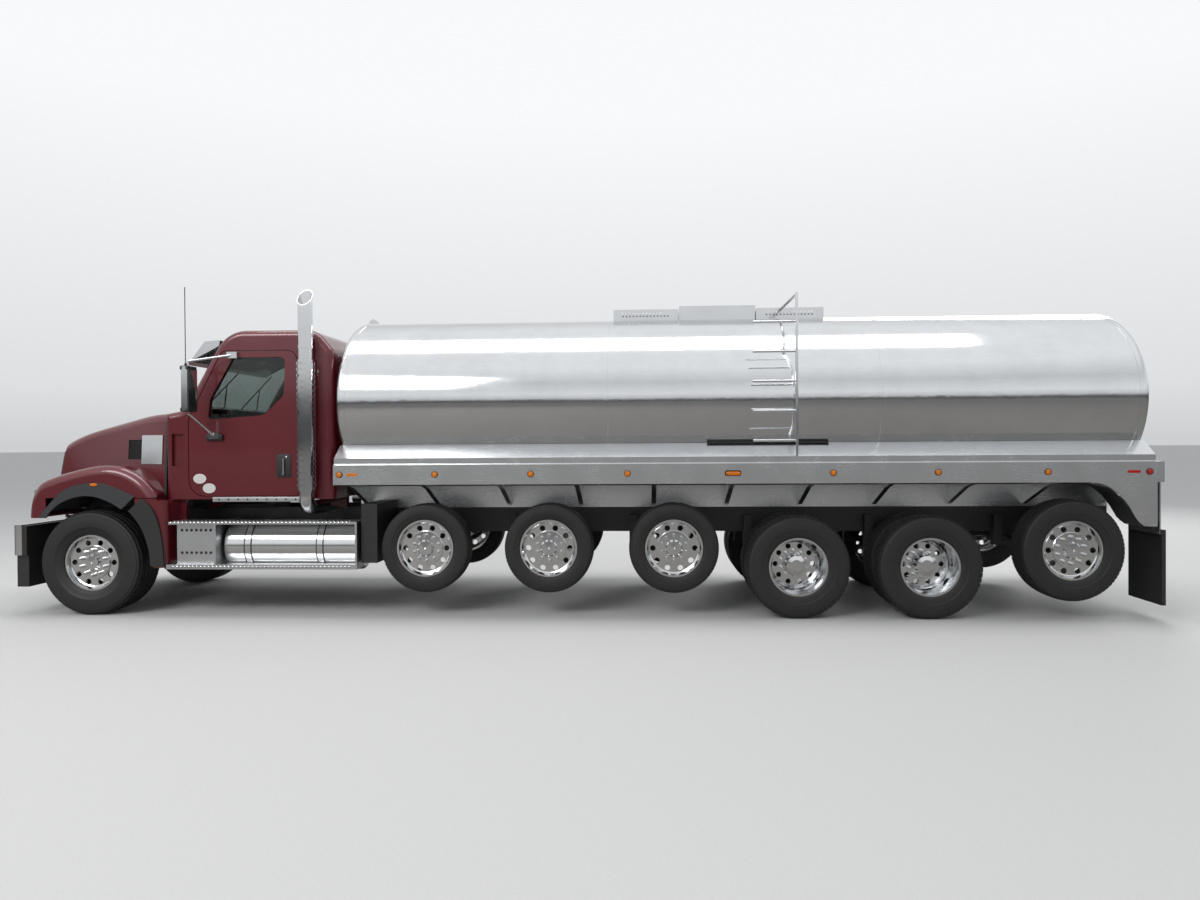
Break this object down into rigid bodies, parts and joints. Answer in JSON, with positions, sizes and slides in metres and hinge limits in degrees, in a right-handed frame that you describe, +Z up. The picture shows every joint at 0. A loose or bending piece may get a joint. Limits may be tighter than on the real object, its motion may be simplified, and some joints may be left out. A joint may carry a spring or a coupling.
{
  "type": "tanker truck",
  "caption": "Long conventional truck with a polished elliptical tank, sleeperless cab, raised lift axles, twin exhaust stacks and side ladder.",
  "frame": {"origin": "on the ground, on the centre plane, half way along the vehicle", "axes": "+X to the rear, +Y to the vehicle's right, +Z up"},
  "size_m": [11.945, 2.864, 3.4542],
  "materials": {
    "frame_black": "satin",
    "axle_black": "satin",
    "bright_chrome": "mirror",
    "black_plastic": "matte",
    "grey_plastic": "matte",
    "engine_grey": "matte",
    "polished_jacket": "polished",
    "rail_aluminium": "brushed",
    "step_aluminium": "satin",
    "polished_aluminium": "polished",
    "wheel_aluminium": "polished",
    "bright_steel": "polished",
    "lamp_lens": "gloss",
    "headlamp_glass": "clear",
    "tinted_glass": "tinted",
    "red_paint": "gloss metallic",
    "cabin_trim": "matte",
    "flap_rubber": "matte",
    "tyre_rubber": "matte"
  },
  "bodies": {
    "chassis": {"frame_rails": "frame_black", "bumper": "bright_chrome", "lower_plastics": "black_plastic", "engine": "engine_grey", "axles": "axle_black", "tank": "polished_jacket", "body_rails": "rail_aluminium", "side_lamps": "lamp_lens", "cab_shell": "red_paint", "cab_glass": "tinted_glass", "cab_interior": "cabin_trim", "sun_visor": "bright_steel", "exhaust_stacks": "bright_chrome", "side_steps": "step_aluminium", "fuel_tanks": "polished_aluminium", "ladder": "polished_aluminium", "top_boxes": "polished_aluminium", "rear_fenders": "rail_aluminium", "mudflaps": "flap_rubber"},
    "hood": {"hood": "red_paint", "grille": "bright_chrome", "headlamps": "headlamp_glass", "fender_flares": "grey_plastic"},
    "door_left": {"door_left": "red_paint", "door_glass_left": "tinted_glass", "mirror_left": "bright_chrome"},
    "door_right": {"door_right": "red_paint", "door_glass_right": "tinted_glass", "mirror_right": "bright_chrome"},
    "box_lid": {"box_lid": "polished_aluminium"},
    "knuckle_left": {"knuckle_left": "axle_black"},
    "knuckle_right": {"knuckle_right": "axle_black"},
    "steer_wheel_left": {"steer_rim_left": "wheel_aluminium", "steer_tyre_left": "tyre_rubber"},
    "steer_wheel_right": {"steer_rim_right": "wheel_aluminium", "steer_tyre_right": "tyre_rubber"},
    "lift1_wheel_left": {"lift1_rim_left": "wheel_aluminium", "lift1_tyre_left": "tyre_rubber"},
    "lift1_wheel_right": {"lift1_rim_right": "wheel_aluminium", "lift1_tyre_right": "tyre_rubber"},
    "lift2_wheel_left": {"lift2_rim_left": "wheel_aluminium", "lift2_tyre_left": "tyre_rubber"},
    "lift2_wheel_right": {"lift2_rim_right": "wheel_aluminium", "lift2_tyre_right": "tyre_rubber"},
    "lift3_wheel_left": {"lift3_rim_left": "wheel_aluminium", "lift3_tyre_left": "tyre_rubber"},
    "lift3_wheel_right": {"lift3_rim_right": "wheel_aluminium", "lift3_tyre_right": "tyre_rubber"},
    "tag_wheel_left": {"tag_rim_left": "wheel_aluminium", "tag_tyre_left": "tyre_rubber"},
    "tag_wheel_right": {"tag_rim_right": "wheel_aluminium", "tag_tyre_right": "tyre_rubber"},
    "drive1_wheels_left": {"drive1_rims_left": "wheel_aluminium", "drive1_tyres_left": "tyre_rubber"},
    "drive1_wheels_right": {"drive1_rims_right": "wheel_aluminium", "drive1_tyres_right": "tyre_rubber"},
    "drive2_wheels_left": {"drive2_rims_left": "wheel_aluminium", "drive2_tyres_left": "tyre_rubber"},
    "drive2_wheels_right": {"drive2_rims_right": "wheel_aluminium", "drive2_tyres_right": "tyre_rubber"}
  },
  "joints": [
    {"name": "hood_tilt", "type": "hinge", "parent": "chassis", "child": "hood", "pos_m": [-5.9075, 0, 0.995], "axis": [0, -1, 0], "range_deg": [0, 60]},
    {"name": "door_left_hinge", "type": "hinge", "parent": "chassis", "child": "door_left", "pos_m": [-4.1085, -1.056, 1.9], "axis": [0, 0, -1], "range_deg": [0, 70]},
    {"name": "door_right_hinge", "type": "hinge", "parent": "chassis", "child": "door_right", "pos_m": [-4.1085, 1.056, 1.9], "axis": [0, 0, 1], "range_deg": [0, 70]},
    {"name": "box_lid_hinge", "type": "hinge", "parent": "chassis", "child": "box_lid", "pos_m": [1.6186, 0.33, 3.3303], "axis": [-1, 0, 0], "range_deg": [0, 100]},
    {"name": "steer_left", "type": "hinge", "parent": "chassis", "child": "knuckle_left", "pos_m": [-5.1075, -0.885, 0.558], "axis": [0, 0, 1], "range_deg": [-30, 30]},
    {"name": "steer_right", "type": "hinge", "parent": "chassis", "child": "knuckle_right", "pos_m": [-5.1075, 0.885, 0.558], "axis": [0, 0, 1], "range_deg": [-30, 30]},
    {"name": "steer_spin_left", "type": "hinge", "parent": "knuckle_left", "child": "steer_wheel_left", "pos_m": [-5.1075, -1.022, 0.558], "axis": [0, 1, 0], "continuous": true},
    {"name": "steer_spin_right", "type": "hinge", "parent": "knuckle_right", "child": "steer_wheel_right", "pos_m": [-5.1075, 1.022, 0.558], "axis": [0, 1, 0], "continuous": true},
    {"name": "lift1_spin_left", "type": "hinge", "parent": "chassis", "child": "lift1_wheel_left", "pos_m": [-1.5075, -1.054, 0.712], "axis": [0, 1, 0], "continuous": true},
    {"name": "lift1_spin_right", "type": "hinge", "parent": "chassis", "child": "lift1_wheel_right", "pos_m": [-1.5075, 1.054, 0.712], "axis": [0, 1, 0], "continuous": true},
    {"name": "lift2_spin_left", "type": "hinge", "parent": "chassis", "child": "lift2_wheel_left", "pos_m": [-0.20763, -1.054, 0.712], "axis": [0, 1, 0], "continuous": true},
    {"name": "lift2_spin_right", "type": "hinge", "parent": "chassis", "child": "lift2_wheel_right", "pos_m": [-0.20763, 1.054, 0.712], "axis": [0, 1, 0], "continuous": true},
    {"name": "lift3_spin_left", "type": "hinge", "parent": "chassis", "child": "lift3_wheel_left", "pos_m": [1.09224, -1.054, 0.712], "axis": [0, 1, 0], "continuous": true},
    {"name": "lift3_spin_right", "type": "hinge", "parent": "chassis", "child": "lift3_wheel_right", "pos_m": [1.09224, 1.054, 0.712], "axis": [0, 1, 0], "continuous": true},
    {"name": "tag_spin_left", "type": "hinge", "parent": "chassis", "child": "tag_wheel_left", "pos_m": [5.0575, -1.123, 0.7], "axis": [0, 1, 0], "continuous": true},
    {"name": "tag_spin_right", "type": "hinge", "parent": "chassis", "child": "tag_wheel_right", "pos_m": [5.0575, 1.123, 0.7], "axis": [0, 1, 0], "continuous": true},
    {"name": "drive1_spin_left", "type": "hinge", "parent": "chassis", "child": "drive1_wheels_left", "pos_m": [2.35272, -0.9325, 0.527], "axis": [0, 1, 0], "continuous": true},
    {"name": "drive1_spin_right", "type": "hinge", "parent": "chassis", "child": "drive1_wheels_right", "pos_m": [2.35272, 0.9325, 0.527], "axis": [0, 1, 0], "continuous": true},
    {"name": "drive2_spin_left", "type": "hinge", "parent": "chassis", "child": "drive2_wheels_left", "pos_m": [3.67229, -0.9325, 0.527], "axis": [0, 1, 0], "continuous": true},
    {"name": "drive2_spin_right", "type": "hinge", "parent": "chassis", "child": "drive2_wheels_right", "pos_m": [3.67229, 0.9325, 0.527], "axis": [0, 1, 0], "continuous": true}
  ],
  "couplings": [
    {"joint": "steer_right", "follows": "steer_left", "ratio": 1}
  ]
}
